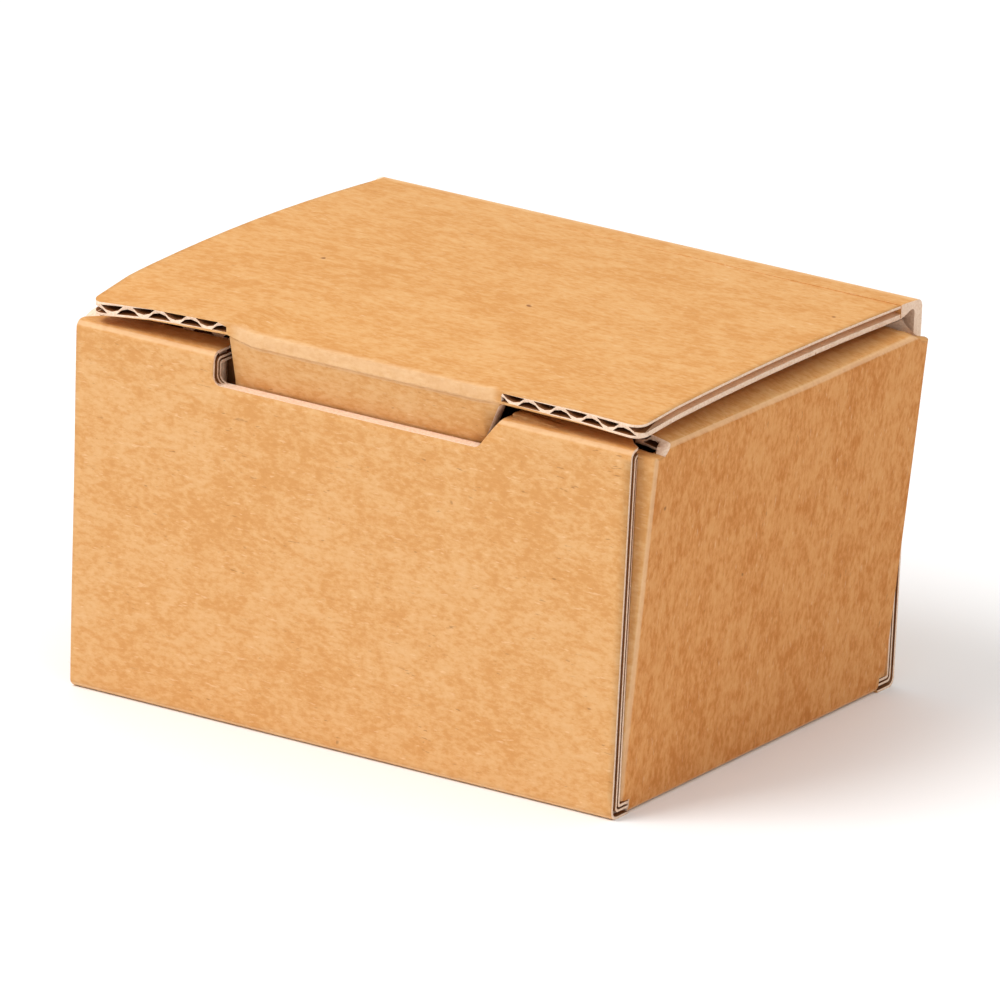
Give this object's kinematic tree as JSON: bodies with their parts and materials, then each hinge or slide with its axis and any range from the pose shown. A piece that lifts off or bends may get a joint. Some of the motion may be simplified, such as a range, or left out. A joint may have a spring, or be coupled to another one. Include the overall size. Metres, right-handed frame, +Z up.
{
  "type": "shipping box",
  "caption": "Small corrugated card shipping box, folded from one sheet, with a hinged lid whose tab locks in the front wall.",
  "frame": {"origin": "middle of the underside of the base", "axes": "+X along the front wall to the right as seen from the front, +Y from the front wall to the hinge, +Z up"},
  "size_m": [0.117, 0.0896, 0.0716],
  "materials": {
    "kraft_board": "uncoated brown kraft paper on corrugated board, matt"
  },
  "bodies": {
    "tray_body": {"tray": "kraft_board"},
    "lid_body": {"lid": "kraft_board"}
  },
  "joints": [
    {"name": "lid_hinge", "type": "hinge", "parent": "tray_body", "child": "lid_body", "pos_m": [0, 0.043, 0.0681], "axis": [-1, 0, 0], "range_deg": [0, 175]}
  ]
}
